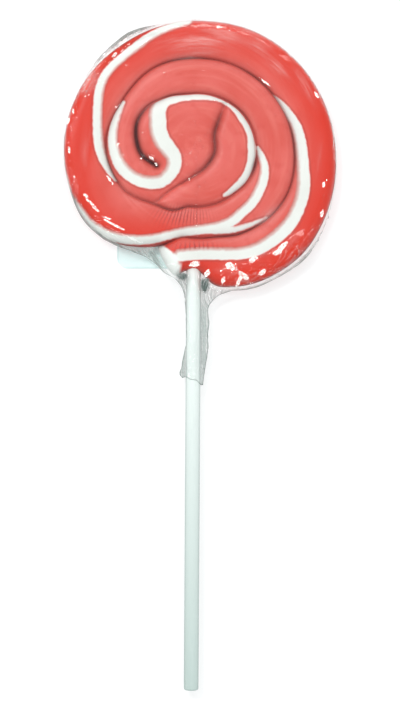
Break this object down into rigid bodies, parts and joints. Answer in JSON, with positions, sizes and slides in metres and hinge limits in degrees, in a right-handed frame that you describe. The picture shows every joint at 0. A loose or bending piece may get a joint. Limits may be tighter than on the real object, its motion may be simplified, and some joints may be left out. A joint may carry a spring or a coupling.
{
  "type": "swirl lollipop",
  "caption": "Flat round swirl lollipop: a coiled red rope of hard sugar with white stripes on a straight stick, its clear film gathered at the neck.",
  "frame": {"origin": "middle of the part's bounding box in plan, on the surface it lies on", "axes": "+Y from the stick's free end to the candy, +X to the right as seen on the shown face, +Z out of the shown face"},
  "size_m": [0.0762, 0.1874, 0.0081],
  "materials": {
    "candy": "glossy boiled sugar",
    "stick": "smooth rolled paper",
    "film": "clear crinkled film",
    "label": "smooth pale panel"
  },
  "bodies": {
    "root": {"candy": "candy", "stick": "stick", "film": "film", "label": "label"}
  },
  "joints": []
}
